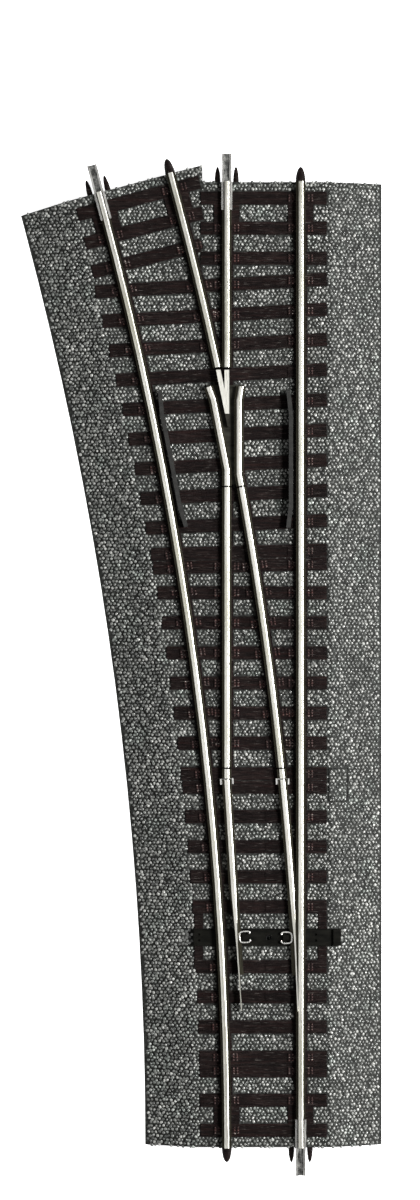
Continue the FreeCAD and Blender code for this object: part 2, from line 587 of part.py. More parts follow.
def guard_rails():
    """The two guard rails, each beside a stock rail, with ends that flare away from it."""
    lap = "0.1"
    low = "@guardToeY + @guardFlare"
    high = "@guardHeelY - @guardFlare"
    x = f"{RAIL} - @guardOffset"
    turn = "@guardFlareAngle"
    reach = "@guardFlare / cos(@guardFlareAngle)"
    middle = guard_bar("guard_right_middle", x, f"{low} - {lap}", f"{high} - ({low}) + 2 * {lap}")
    back = f"@guardFlare * tan({turn})"
    toe = guard_bar("guard_right_toe", f"{x} - {back}", "@guardToeY", reach, f"-{turn}")
    heel = guard_bar("guard_right_heel", x, high, reach, turn)
    fuse("guard_rail_right", [toe, middle, heel])
    offset = f"(-{RAIL} + @guardOffset)"
    first = arc_turn(offset, low)
    last = arc_turn(offset, high)
    band = arc_band("guard_left_middle", f"({offset} - @guardWidth / 2)",
                    f"({offset} + @guardWidth / 2)", "@railBase", "@railHeight",
                    first, f"{last} - {first}")
    low_x = arc_x(offset, low)
    toe_turn = f"{first} + {turn}"
    toe = guard_bar("guard_left_toe", f"{low_x} + @guardFlare * sin({toe_turn})",
                    f"{low} - @guardFlare * cos({toe_turn})", f"@guardFlare + {lap}", toe_turn)
    heel = guard_bar("guard_left_heel", arc_x(offset, high), high, "@guardFlare",
                     f"{last} - {turn}")
    fuse("guard_rail_left", [toe, band, heel])


def insulators():
    """The thin insulating pieces between the rails."""
    pieces = []
    for index, y in enumerate(("@hingeGapY", "@frogToeY", "@frogHeelY")):
        for side in ("straight", "curved"):
            x = f"-{RAIL}" if side == "straight" else arc_x(RAIL, y)
            turn = "0" if side == "straight" else arc_turn(RAIL, y)
            body = prism(f"insulator_{side}_{index}", "XZ_Plane", rail_corners("0"),
                         "@insulatorWidth", True)
            place(body, x, f"{y} - @insulatorWidth / 2", "0", turn)
            pieces.append(body)
    group("rail_gap_insulators", pieces)


def joiner(name, x, y, turn):
    """A folded sheet joiner; its first half is on the rail and its second half is free."""
    halves = []
    for end, width, start in (("fixed", "@joinerWidth", "-@joinerLength / 2"),
                              ("free", "@joinerFree", "0")):
        half = f"{width} / 2"
        wall = f"({half} - @joinerWall)"
        lip = f"({half} - @joinerLip)"
        top = "@sleeperTop + @joinerHeight"
        right = [(half, "@sleeperTop"), (half, top), (lip, top), (lip, f"{top} - @joinerLipWall"),
                 (wall, f"{top} - @joinerLipWall"), (wall, "@railBase")]
        left = [(f"-{across}", height) for across, height in reversed(right)]
        body = prism(f"{name}_{end}", "XZ_Plane", right + left, "@joinerLength / 2", True)
        place(body, "0", start, "0", "0")
        halves.append(body)
    whole = fuse(name, halves)
    place(whole, x, y, "0", turn)
    return whole


def rail_joiners():
    """One joiner on each end, always on the left rail as seen from the track's middle."""
    joiner("rail_joiner_toe", RAIL, "0", "180")
    joiner("rail_joiner_heel_straight", f"-{RAIL}", "@straightLength", "0")
    x, y = leg_end(f"(-{RAIL})")
    joiner("rail_joiner_heel_curved", f"{x} - @legExtra * sin({LEG_ANGLE})",
           f"{y} + @legExtra * cos({LEG_ANGLE})", LEG_ANGLE)


def cone(name, x, y, direction, root):
    """An alignment cone with rounded sides that lies along the track."""
    item = DOC.addObject("Part::Ellipsoid", name)
    heading = FreeCAD.Rotation(FreeCAD.Vector(0, 0, 1), value(direction))
    lying = FreeCAD.Rotation(FreeCAD.Vector(1, 0, 0), -90)
    item.Placement = FreeCAD.Placement(FreeCAD.Vector(), heading * lying)
    bind(item, Placement__Base__x=x, Placement__Base__y=y, Placement__Base__z="@coneAxis")
    return bind(item, Radius1="@coneLength", Radius2=root, Angle1="0", Angle2="90")


def alignment_cones():
    """A large cone under each bare rail end and a pair of small ones beside each joiner."""
    leg_x, leg_y = leg_end("0")
    leg_x = f"({leg_x} - @legExtra * sin({LEG_ANGLE}))"
    leg_y = f"({leg_y} + @legExtra * cos({LEG_ANGLE}))"
    ends = (("toe", "0", "0", "180"), ("heel", "0", "@straightLength", "0"),
            ("leg", leg_x, leg_y, LEG_ANGLE))
    cones = []
    for name, x, y, turn in ends:
        bare = f"({RAIL})"
        sides = [(bare, "@coneRadius")]
        for shift in ("- @smallConeOffset", "+ @smallConeOffset"):
            sides.append((f"(-{RAIL} {shift})", "@smallConeRadius"))
        for index, (across, root) in enumerate(sides):
            cone_x = f"{x} + {across} * cos({turn})"
            cone_y = f"{y} + {across} * sin({turn})"
            cones.append(cone(f"cone_{name}_{index}", cone_x, cone_y, turn, root))
        for side in (-1, 1):
            across = f"({side} * {RAIL} - @endPlate / 2)"
            corner_x = f"{x} + {across} * cos({turn}) + @endInset * sin({turn})"
            corner_y = f"{y} + {across} * sin({turn}) - @endInset * cos({turn})"
            size = ("@endPlate", "@endInset", "@coneRootTop - @sleeperBottom")
            cones.append(box(f"cone_root_{name}_{side + 1}", corner_x, corner_y, "@sleeperBottom",
                             size, turn))
    return cones


def sleeper_rows():
    """The sleepers that cross the whole track, each as its middle y and its turn."""
    rows = []
    for start, count in (("@toeRowY", 2), ("@tipRowY", 3), ("@bladeRowY", 4), ("@closureRowY", 6)):
        for index in range(count):
            rows.append((f"{start} + {index} * @sleeperPitch", "0"))
    for middle, turn in (("@toePairY", "0"), ("@hingePairY", "0"), ("@slantPairY", "@pairTurn")):
        for side in (-1, 1):
            rows.append((f"{middle} + {side} * (@sleeperWidth + @pairGap) / 2", turn))
    for index in range(FAN_SLEEPERS):
        rows.append((f"@fanRowY + {index} * @sleeperPitch", f"(@fanTurn + {index} * @fanTurnStep)"))
    return rows


def sleeper_frame():
    """The moulded sleepers with the strips that tie them together under the rails."""
    pieces = []
    depth = "@sleeperTop - @sleeperBottom"
    for index, (y, turn) in enumerate(sleeper_rows()):
        left = arc_x("(-@sleeperHalf)", y)
        length = f"(@sleeperHalf - {left}) / cos({turn})"
        corner_x = f"{left} + @sleeperWidth / 2 * sin({turn})"
        corner_y = f"{y} + {left} * tan({turn}) - @sleeperWidth / 2 * cos({turn})"
        pieces.append(box(f"sleeper_{index}", corner_x, corner_y, "@sleeperBottom",
                          (length, "@sleeperWidth", depth), turn))
    for index, clipped in enumerate(LEG_CLIPS):
        y = f"@straightLength - @endInset - {index} * @sleeperPitch"
        pieces.append(box(f"heel_sleeper_{index}", "-@sleeperHalf", f"{y} - @sleeperWidth / 2",
                          "@sleeperBottom", ("2 * @sleeperHalf", "@sleeperWidth", depth)))
        turn = f"({LEG_ANGLE} - {index} * @sleeperPitch / @routeRadius * 180 / pi)"
        corner_x = (f"@routeRadius * (cos({turn}) - 1) - @sleeperHalf * cos({turn})"
                    f" + @sleeperWidth / 2 * sin({turn})")
        corner_y = (f"@routeRadius * sin({turn}) - @sleeperHalf * sin({turn})"
                    f" - @sleeperWidth / 2 * cos({turn})")
        pieces.append(box(f"leg_sleeper_{index}", corner_x, corner_y, "@sleeperBottom",
                          (f"2 * @sleeperHalf - {clipped}", "@sleeperWidth", depth), turn))
    return pieces


def tie_strips():
    """The strips under the rails and the plates at the three ends."""
    pieces = []
    height = "@webTop - @sleeperBottom"
    full = "@sleeperTop - @sleeperBottom"
    inset = "@endInset"
    straight = (("right", RAIL, inset), ("left", f"-{RAIL}", "@hingeY"))
    for side, x, start in straight:
        pieces.append(box(f"strip_straight_{side}", f"{x} - @tieStrip / 2", start, "@sleeperBottom",
                          ("@tieStrip", f"@straightLength - {inset} - ({start})", height)))
    for side, offset, start_y in (("left", f"(-{RAIL})", inset), ("right", RAIL, "@hingeY")):
        start = arc_turn(offset, start_y)
        pieces.append(arc_band(f"strip_curved_{side}", f"({offset} - @tieStrip / 2)",
                               f"({offset} + @tieStrip / 2)", "@sleeperBottom", f"({height})",
                               start, f"{LEG_ANGLE} - {start}"))
    for side in (-1, 1):
        x = f"{side} * {RAIL} - @endPlate / 2"
        for end, y in (("toe", inset), ("heel", f"@straightLength - {inset} - @sleeperPitch")):
            pieces.append(box(f"plate_{end}_{side + 1}", x, y, "@sleeperBottom",
                              ("@endPlate", "@sleeperPitch", full)))
        leg_x, leg_y = leg_end(f"({side} * {RAIL} - @endPlate / 2)")
        back_x = f"{leg_x} + @sleeperPitch * sin({LEG_ANGLE})"
        back_y = f"{leg_y} - @sleeperPitch * cos({LEG_ANGLE})"
        pieces.append(box(f"plate_leg_{side + 1}", back_x, back_y, "@sleeperBottom",
                          ("@endPlate", "@sleeperPitch", full), LEG_ANGLE))
    side_x = {"right": "@sleeperHalf - @barSide", "left": arc_x("(-@sleeperHalf)", "@barY")}
    for side, x in side_x.items():
        pieces.append(box(f"bar_side_{side}", x, "@barY - @sleeperPitch", "@sleeperBottom",
                          ("@barSide", "2 * @sleeperPitch", full)))
    return pieces


def bar_channel(name):
    """The space that the throwbar slides in."""
    half = "(@barWidth / 2 + @barPlay)"
    return box(name, "-@channelLeftX", f"@barY - {half}", "@barBottom - @barPlay / 2",
               ("@channelLeftX + @bedHalf", f"2 * {half}", "@sleeperTop"))


def sleepers():
    """Sleepers, strips and cones in one moulding, with the throwbar channel and hinge holes."""
    whole = fuse("frame_whole", sleeper_frame() + tie_strips() + alignment_cones())
    holes = [bar_channel("frame_channel")] + pin_holes("frame")
    return cut("sleeper_frame", whole, fuse("frame_holes", holes))


def contact_places():
    """The contact pins as (name, x, y)."""
    return (("stock_straight", RAIL, "@linkY"), ("closure_curved", arc_x(RAIL, "@linkY"), "@linkY"),
            ("stock_curved", arc_x(f"(-{RAIL})", "@linkY"), "@linkY"),
            ("closure_straight", f"-{RAIL}", "@linkY"),
            ("frog", f"-{RAIL} - @frogLinkShift", "@frogLinkY"))


def pin_holes(prefix):
    """Holes for the contact pins and for the hinge pins of the blades."""
    holes = [post(f"{prefix}_contact_{name}", x, y, "-1", "@linkBore", "@railBase + 1.5")
             for name, x, y in contact_places()]
    for side, x in (("left", f"-{RAIL}"), ("right", arc_x(RAIL, "@hingeY"))):
        holes.append(post(f"{prefix}_hinge_{side}", x, "@hingeY", "@sleeperBottom", "@pivotBore",
                          "@railHeight"))
    return holes


def contact_strips():
    """The brass strips under the bed that feed the inner rails and the frog."""
    places = contact_places()
    base = "@hollowDepth - @linkThickness"
    pins = {}
    for name, x, y in places:
        pins[name] = post(f"pin_{name}", x, y, base, "@linkPin", f"@railBase - ({base})")
    for label, first, second in (("contact_strip_right", places[1], places[0]),
                                 ("contact_strip_left", places[2], places[3])):
        start = f"{first[1]} - @linkWidth / 2"
        strip = box(f"{label}_sheet", start, "@linkY - @linkWidth / 2", base,
                    (f"{second[1]} - ({first[1]}) + @linkWidth", "@linkWidth", "@linkThickness"))
        fuse(label, [strip, pins[first[0]], pins[second[0]]])
    name, x, y = places[-1]
    strip = box("frog_sheet", f"{x} - @linkWidth / 2", f"{y} - @frogLinkLength", base,
                ("@linkWidth", "@frogLinkLength + @linkWidth / 2", "@linkThickness"))
    fuse("contact_strip_frog", [strip, pins[name]])


def bed_block(name, half_base, half_top, height, ends):
    """A straight and a curved bank of one section, joined, between the track ends."""
    section = [(f"-{half_base}", "0"), (half_base, "0"), (half_top, height), (f"-{half_top}", height)]
    straight = prism(f"{name}_straight", "XZ_Plane", section, f"@straightLength - 2 * ({ends})", True)
    place(straight, "0", ends)
    curved = DOC.addObject("PartDesign::Body", f"{name}_curved")
    turned_section = [(f"@routeRadius + ({x})", z) for x, z in section]
    sketch = outline(curved, "XZ_Plane", turned_section)
    turned = curved.newObject("PartDesign::Revolution", f"{name}_turned")
    turned.Profile = sketch
    turned.ReferenceAxis = (sketch, ["V_Axis"])
    start = f"({ends}) / @routeRadius * 180 / pi"
    bind(turned, Angle=f"{LEG_ANGLE} - ({start})")
    place(curved, "-@routeRadius", "0", "0", start)
    leg_x, leg_y = leg_end("0")
    leg = prism(f"{name}_leg", "XZ_Plane", section, f"@legExtra - ({ends})", True)
    place(leg, leg_x, leg_y, "0", LEG_ANGLE)
    return fuse(name, [straight, curved, leg])


def ballast_bed(frame):
    """The moulded ballast bank: hollow and ribbed below, recessed for the sleepers above."""
    bank = bed_block("bank", "@bedHalf", "@crestHalf", "@bedHeight", "0")
    beyond = box("bank_beyond", "-@legSplit", "@straightLength", "-1",
                 ("@bedHalf + @legSplit + 1", "@bedHalf", "@bedHeight + 2"))
    bank = cut("bank_trimmed", bank, beyond)
    slope = "(@bedHalf - @crestHalf) / @bedHeight"
    base = "(@bedHalf - @bedSkirt)"
    hollow = bed_block("hollow", base, f"({base} - @hollowDepth * {slope})", "@hollowDepth", "@bedWall")
    ribs = []
    for index in range(1, BED_RIBS + 1):
        ribs.append(box(f"rib_{index}", "-3 * @bedHalf", f"{index} * @ribPitch", "-1",
                        ("4 * @bedHalf", "@ribWidth", "@hollowDepth + 2")))
    wall = box("rib_ends", f"-@legSplit - @bedWall", "@straightLength - @bedWall", "-1",
               ("@bedHalf + @legSplit + @bedWall", "@bedHalf", "@hollowDepth + 2"))
    hollow = cut("hollow_ribbed", hollow, fuse("hollow_ribs", ribs + [wall]))
    slot = box("drive_slot", "-@driveSlotHalf", "@barY - @driveSlotWidth / 2", "-1",
               ("2 * @driveSlotHalf", "@driveSlotWidth", "@barBottom + 2"))
    hatch_hole = prism("hatch_hole", "XZ_Plane", hatch_corners("@hatchGap", "2"),
                       "@hatchHeelY - @hatchToeY + 2 * @hatchGap", True)
    place(hatch_hole, "0", "@hatchToeY - @hatchGap")
    tools = [hollow, slot, hatch_hole, bar_channel("bed_channel"), frame] + pin_holes("bed")
    cut("ballast_bed", bank, fuse("bed_cuts", tools))


def hatch_corners(gap, above):
    """The section of the hatch, which follows the crest and the shoulder."""
    slope = "@bedHeight / (@bedHalf - @crestHalf)"
    left = f"@hatchLeft - {gap}"
    right = f"@hatchRight + {gap}"
    low = f"@bedHeight - (@hatchRight - @crestHalf) * {slope}"
    return [(left, f"@bedHeight - @hatchThickness - {gap}"), (left, f"@bedHeight + {above}"),
            ("@crestHalf", f"@bedHeight + {above}"), (right, f"{low} + {above}"),
            (right, f"{low} - @hatchThickness - {gap}"),
            ("@crestHalf", f"@bedHeight - @hatchThickness - {gap}")]


def hatch():
    """The small cover in the right shoulder."""
    body = prism("hatch_cover", "XZ_Plane", hatch_corners("0", "@hatchProud"),
                 "@hatchHeelY - @hatchToeY", True)
    place(body, "0", "@hatchToeY")


def chair(x, y, plate_turn, rail_turn, sides, reach):
    """A tie plate that lies along its sleeper, with clips along its rail, as solids."""
    size = {name: value(f"@{name}") for name in
            ("chairWidth", "cheekLength", "cheekWidth", "cheekHeight", "cheekGap", "railBase",
             "sleeperTop", "footWidth")}
    left, right = reach
    plate = Part.makeBox(left + right, size["chairWidth"], size["railBase"] - size["sleeperTop"],
                         FreeCAD.Vector(-left, -size["chairWidth"] / 2, size["sleeperTop"]))
    plate.rotate(FreeCAD.Vector(), FreeCAD.Vector(0, 0, 1), plate_turn)
    solids = [plate]
    for side in sides:
        near = side * (size["footWidth"] / 2 + size["cheekGap"])
        corner = min(near, near + side * size["cheekLength"])
        cheek = Part.makeBox(size["cheekLength"], size["cheekWidth"], size["cheekHeight"],
                             FreeCAD.Vector(corner, -size["cheekWidth"] / 2, size["railBase"]))
        cheek.rotate(FreeCAD.Vector(), FreeCAD.Vector(0, 0, 1), rail_turn)
        solids.append(cheek)
    for solid in solids:
        solid.translate(FreeCAD.Vector(x, y, 0))
    return solids


def rail_at(route, side, y):
    """Where a rail crosses a sleeper, and its turn there, as numbers."""
    if route == "straight":
        return side * value(RAIL), 0.0
    radius = value("@routeRadius") + side * value(RAIL)
    turn = math.degrees(math.asin(y / radius))
    return radius * math.cos(math.radians(turn)) - value("@routeRadius"), turn


def sleeper_chairs(text, slant):
    """The chairs of one sleeper, as (x, y, rail turn, sides, reach to the left and right)."""
    full = value("@chairLength / 2")
    pitch = value("@sleeperPitch")
    width = value("@sleeperWidth")
    switch = (value("@bladeTipY") - pitch, value("@bladeHeelY") + width)
    crossing = (value("@guardToeY") - pitch, value("@frogHeelY") + width)
    middle = value(text)
    found = []
    for route, side in (("straight", 1), ("curved", -1), ("straight", -1), ("curved", 1)):
        running = (route == "straight") == (side > 0)
        x = rail_at(route, side, middle)[0]
        y = middle + x * math.tan(math.radians(slant))
        x, rail_turn = rail_at(route, side, y)
        in_switch = switch[0] < y < switch[1]
        in_crossing = crossing[0] < y < crossing[1]
        joiner_here = route == "straight" and side > 0 and y < value("@joinerLength / 2")
        if joiner_here or (not running and (y < switch[1] or in_crossing)):
            continue
        sides = (side,) if in_switch or in_crossing else (-1, 1)
        reach = [full, full]
        if in_switch:
            reach[0 if side > 0 else 1] = value("@chairShort")
        found.append((x, y, rail_turn, sides, reach))
    found.sort(key=lambda entry: entry[0])
    for left, right in zip(found, found[1:]):
        room = (right[0] - left[0] - value("@chairGap")) / 2
        left[4][1] = min(left[4][1], room)
        right[4][0] = min(right[4][0], room)
    return found


def rail_chairs():
    """Tie plates under the running rails, one group of separate solids."""
    solids = []
    full = value("@chairLength / 2")
    pitch = value("@sleeperPitch")
    for text, turn_text in sleeper_rows():
        slant = value(turn_text)
        for x, y, rail_turn, sides, reach in sleeper_chairs(text, slant):
            solids += chair(x, y, slant, rail_turn, sides, reach)
    for index in range(len(LEG_CLIPS)):
        distance = value("@endInset") + index * pitch
        turn = value(LEG_ANGLE) - math.degrees(index * pitch / value("@routeRadius"))
        for side in (-1, 1):
            if side < 0 and distance < value("@joinerLength / 2"):
                continue
            radius = value("@routeRadius") + side * value(RAIL)
            x = radius * math.cos(math.radians(turn)) - value("@routeRadius")
            y = radius * math.sin(math.radians(turn))
            solids += chair(side * value(RAIL), value("@straightLength") - distance, 0.0, 0.0, (-1, 1),
                            (full, full))
            solids += chair(x, y, turn, turn, (-1, 1), (full, full))
    chairs = DOC.addObject("Part::Feature", "rail_chairs")
    chairs.Shape = Part.makeCompound(solids)
    chairs.Placement = FreeCAD.Placement()


def slide_plates():
    """The plates that the blades slide on, one on each sleeper under each blade."""
    plates = []
    height = "@slideTop - @sleeperTop"
    rows = [y for y, turn in sleeper_rows() if value("@bladeTipY") - 1 < value(y) < value("@hingeY") - 5]
    for index, y in enumerate(rows):
        left = f"{arc_x(f'(-{RAIL})', y)} + @chairShort + @slideGap"
        right = f"{RAIL} - @chairShort - @slideGap - @slideLength"
        for side, x in (("left", left), ("right", right)):
            plates.append(box(f"slide_{side}_{index}", x, f"{y} - @chairWidth / 2", "@sleeperTop",
                              ("@slideLength", "@chairWidth", height)))
    group("slide_plates", plates)


NODES = (
    "ballast_bed", "sleeper_frame", "rail_chairs", "slide_plates", "stock_rail_straight",
    "stock_rail_curved", "closure_rail_straight", "closure_rail_curved", "heel_stub_straight",
    "heel_stub_curved", "switch_blade_straight", "switch_blade_curved", "drive_clip_straight",
    "drive_clip_curved", "hinge_saddle_straight", "hinge_saddle_curved", "throwbar",
    "wing_rail_left", "wing_rail_right", "frog_point", "frog_floor_plate", "frog_nose_ramp",
    "guard_rail_left", "guard_rail_right", "heel_rail_straight", "heel_rail_curved",
    "rail_gap_insulators", "rail_joiner_toe", "rail_joiner_heel_straight",
    "rail_joiner_heel_curved", "hatch_cover", "contact_strip_left", "contact_strip_right",
    "contact_strip_frog",
)


def export():
    """Check every object and write one file for each sub-part."""
    for item in DOC.Objects:
        if "Invalid" in item.State or "Error" in item.State:
            raise RuntimeError(f"{item.Label} failed: {item.State}")
    os.makedirs("parts", exist_ok=True)
    for name in NODES:
        item = DOC.getObjectsByLabel(name)[0]
        shape = item.Shape
        if shape.isNull() or not shape.isValid() or shape.Volume <= 0:
            raise RuntimeError(f"{name} has no valid solid")
        shape.exportStep(f"parts/{name}.step")
        bounds = shape.BoundBox
        print(f"{name}: {len(shape.Solids)} solids, {shape.Volume:.2f} mm3,"
              f" x {bounds.XMin:.2f} {bounds.XMax:.2f} y {bounds.YMin:.2f} {bounds.YMax:.2f}"
              f" z {bounds.ZMin:.2f} {bounds.ZMax:.2f}")


stock_rails()
closure_rails()
heel_rails()
blades()
blade_fittings()
throwbar()
wing_rails()
frog_point()
frog_floor()
guard_rails()
insulators()
rail_joiners()
ballast_bed(sleepers())
hatch()
contact_strips()
rail_chairs()
slide_plates()
DOC.recompute()
export()
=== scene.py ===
"""Looks of a model railway turnout: ballast stones, sleepers, rails, fittings, light and camera."""
import json
import math

import bpy
import numpy as np
from mathutils import Matrix, Vector
from mathutils.bvhtree import BVHTree


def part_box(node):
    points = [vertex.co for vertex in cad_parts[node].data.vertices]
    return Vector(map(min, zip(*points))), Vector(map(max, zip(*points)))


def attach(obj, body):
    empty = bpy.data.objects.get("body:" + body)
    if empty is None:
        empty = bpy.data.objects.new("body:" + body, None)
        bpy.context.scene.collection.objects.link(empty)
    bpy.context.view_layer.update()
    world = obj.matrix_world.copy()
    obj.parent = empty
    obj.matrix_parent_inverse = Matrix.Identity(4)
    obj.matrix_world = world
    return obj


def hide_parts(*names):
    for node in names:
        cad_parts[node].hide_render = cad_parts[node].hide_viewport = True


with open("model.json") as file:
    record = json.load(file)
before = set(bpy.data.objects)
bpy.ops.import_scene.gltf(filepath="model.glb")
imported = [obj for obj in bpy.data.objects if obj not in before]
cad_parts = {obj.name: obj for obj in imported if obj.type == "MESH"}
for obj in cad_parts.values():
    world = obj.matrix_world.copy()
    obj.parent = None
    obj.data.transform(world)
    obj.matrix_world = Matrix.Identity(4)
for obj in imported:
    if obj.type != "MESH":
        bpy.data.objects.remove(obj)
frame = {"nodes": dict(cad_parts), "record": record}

MM = 0.001
SEED = 8735
MIX_FACTOR, MIX_FIRST, MIX_SECOND, MIX_RESULT = 0, 6, 7, 2  # sockets of a colour Mix node
NODES = frame["nodes"]
JOINTS = {joint["name"]: joint for joint in frame["record"]["behaviour"]["joints"]}
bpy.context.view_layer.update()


# ---------------------------------------------------------------- materials

class Paint:
    """A node material whose textures are laid out in millimetres of the row frame."""

    def __init__(self, name, **constants):
        self.material = bpy.data.materials.new(name)
        self.material.use_nodes = True
        self.tree = self.material.node_tree
        self.shader = self.tree.nodes["Principled BSDF"]
        for socket, number in constants.items():
            self.shader.inputs[socket.replace("_", " ")].default_value = number
        place = self.add("ShaderNodeTexCoord")
        self.place = self.add("ShaderNodeMapping")
        self.place.inputs["Scale"].default_value = (1 / MM, 1 / MM, 1 / MM)
        self.join(place.outputs["Object"], self.place.inputs["Vector"])

    def add(self, kind, **settings):
        """A new node with its sockets and properties set."""
        node = self.tree.nodes.new(kind)
        for name, value in settings.items():
            if hasattr(node, name):
                setattr(node, name, value)
            else:
                node.inputs[name.replace("_", " ")].default_value = value
        return node

    def join(self, source, target):
        """Link two sockets."""
        self.tree.links.new(source, target)

    def stretched(self, scale):
        """Coordinates stretched for streaks; small numbers make long streaks."""
        node = self.add("ShaderNodeMapping")
        node.inputs["Scale"].default_value = scale
        self.join(self.place.outputs["Vector"], node.inputs["Vector"])
        return node.outputs["Vector"]

    def noise(self, scale, detail=4.0, vector=None, roughness=0.55):
        """A noise texture's factor."""
        node = self.add("ShaderNodeTexNoise", Scale=scale, Detail=detail, Roughness=roughness)
        self.join(vector or self.place.outputs["Vector"], node.inputs["Vector"])
        return node.outputs["Fac"]

    def cells(self, scale):
        """A cell texture's distance to the middle of each cell."""
        node = self.add("ShaderNodeTexVoronoi", Scale=scale)
        self.join(self.place.outputs["Vector"], node.inputs["Vector"])
        return node.outputs["Distance"]

    def ramp(self, factor, *stops):
        """A colour ramp over (position, colour) stops."""
        node = self.add("ShaderNodeValToRGB")
        elements = node.color_ramp.elements
        while len(elements) < len(stops):
            elements.new(0.5)
        for element, (position, colour) in zip(elements, stops):
            element.position = position
            element.color = (*colour, 1.0)
        self.join(factor, node.inputs["Fac"])
        return node.outputs["Color"]

    def mix(self, factor, first, second, blend="MIX"):
        """Two colours, sockets or values, mixed by a factor socket or a number."""
        node = self.add("ShaderNodeMix", data_type="RGBA", blend_type=blend)
        for index, value in ((MIX_FACTOR, factor), (MIX_FIRST, first), (MIX_SECOND, second)):
            socket = node.inputs[index]
            if hasattr(value, "is_linked"):
                self.join(value, socket)
            elif isinstance(value, tuple):
                socket.default_value = (*value, 1.0)
            else:
                socket.default_value = value
        return node.outputs[MIX_RESULT]

    def span(self, factor, low, high, start=0.0, end=1.0):
        """A factor between start and end mapped onto the range from low to high."""
        node = self.add("ShaderNodeMapRange", From_Min=start, From_Max=end, To_Min=low, To_Max=high)
        self.join(factor, node.inputs["Value"])
        return node.outputs["Result"]

    def level(self, *stops):
        """A factor ramp over heights in millimetres; stops are (height, factor)."""
        split = self.add("ShaderNodeSeparateXYZ")
        self.join(self.place.outputs["Vector"], split.inputs["Vector"])
        low, high = stops[0][0], stops[-1][0]
        share = self.span(split.outputs["Z"], 0.0, 1.0, low, high)
        greys = [((height - low) / (high - low), (factor,) * 3) for height, factor in stops]
        return self.ramp(share, *greys)

    def colour(self, socket):
        """Use a colour for the surface."""
        self.join(socket, self.shader.inputs["Base Color"])

    def rough(self, socket):
        """Use a factor for the roughness."""
        self.join(socket, self.shader.inputs["Roughness"])

    def bump(self, height, distance_mm, strength=1.0, below=None):
        """Raise the surface by a factor; returns the normal so that bumps can be stacked."""
        node = self.add("ShaderNodeBump", Strength=strength, Distance=distance_mm * MM)
        self.join(height, node.inputs["Height"])
        if below is not None:
            self.join(below, node.inputs["Normal"])
        self.join(node.outputs["Normal"], self.shader.inputs["Normal"])
        return node.outputs["Normal"]


def stone_paint():
    """Grey-green moulded stones: each has its own tone and a satin skin."""
    paint = Paint("ballast_stone", Roughness=0.25, Specular_IOR_Level=0.8)
    island = paint.add("ShaderNodeNewGeometry").outputs["Random Per Island"]
    tone = paint.ramp(island, (0.0, (0.050, 0.052, 0.049)), (0.4, (0.115, 0.119, 0.110)),
                      (0.8, (0.22, 0.224, 0.21)), (1.0, (0.46, 0.46, 0.435)))
    speck = paint.noise(3.2, 5.0)
    dusty = paint.mix(paint.span(speck, 0.0, 0.4, 0.45, 0.75), tone, (0.29, 0.292, 0.272))
    patch = paint.span(paint.noise(0.07, 2.0), 0.8, 1.15, 0.3, 0.7)
    toned = paint.mix(1.0, dusty, patch, "MULTIPLY")
    green = paint.span(paint.noise(0.16, 2.0), 0.0, 0.5, 0.52, 0.7)
    paint.colour(paint.mix(green, toned, paint.mix(1.0, toned, (0.86, 1.0, 0.95), "MULTIPLY")))
    paint.rough(paint.span(speck, 0.14, 0.32))
    paint.bump(paint.noise(5.0, 4.0), 0.05, 0.5)
    return paint.material


def bed_paint():
    """The skin of the bed between the stones: the same plastic, painted near black as painted shade
    between the stones and darkest in its pits.
    """
    paint = Paint("ballast_bed_shaded_skin", Roughness=0.8, Specular_IOR_Level=0.2)
    distance = paint.cells(1.0)
    # painted shade: the skin darkens from the middle of each cell to its edges, the pits between the
    # stones
    tone = paint.ramp(distance, (0.0, (0.055, 0.058, 0.053)), (0.45, (0.022, 0.023, 0.021)),
                      (0.8, (0.009, 0.009, 0.008)))
    grain = paint.noise(4.0, 5.0)
    paint.colour(paint.mix(paint.span(grain, 0.0, 0.5, 0.4, 0.8), tone, (0.035, 0.037, 0.034)))
    paint.rough(paint.span(grain, 0.6, 0.9))
    under = paint.bump(paint.span(distance, 1.0, 0.0), 0.25, 0.7)
    paint.bump(grain, 0.05, 0.4, under)
    return paint.material


def tint(brightness, colour):
    """A colour made lighter or darker."""
    return tuple(brightness * part for part in colour)


def sleeper_paint(name, brightness):
    """Dark brown plastic with the long grain, cracks and end checks of tarred wood, and sparse pale
    streaks along the grain as painted highlights.
    """
    paint = Paint(name, Roughness=0.5, Specular_IOR_Level=0.05)
    along = paint.stretched((0.22, 3.4, 1.0))
    grain = paint.noise(1.6, 7.0, along, 0.62)
    streak = paint.noise(0.7, 3.0, paint.stretched((0.12, 2.2, 1.0)))
    crack, wood, ridge = (0.0018, 0.0012, 0.0011), (0.0068, 0.0043, 0.0041), (0.028, 0.019, 0.017)
    tone = paint.ramp(grain, (0.3, tint(brightness, crack)), (0.52, tint(brightness, wood)),
                      (0.74, tint(brightness, ridge)))
    reddish = tint(brightness, (0.019, 0.0075, 0.0065))
    warm = paint.mix(paint.span(streak, 0.0, 0.6, 0.5, 0.8), tone, reddish)
    patch = paint.span(paint.noise(0.11, 2.0), 0.75, 1.3, 0.3, 0.7)
    # painted highlights: thin pale streaks along the grain, standing in for the light that its
    # ridges catch
    highlight_noise = paint.noise(1.0, 3.0, paint.stretched((0.35, 4.5, 1.0)))
    highlight_streaks = paint.span(highlight_noise, 0.0, 1.0, 0.62, 0.70)
    streak_highlight = tint(brightness, (0.075, 0.066, 0.060))
    paint.colour(paint.mix(highlight_streaks, paint.mix(1.0, warm, patch, "MULTIPLY"), streak_highlight))
    paint.rough(paint.span(grain, 0.36, 0.6))
    under = paint.bump(grain, 0.2, 0.9)
    paint.bump(paint.noise(9.0, 3.0), 0.02, 0.3, under)
    return paint.material


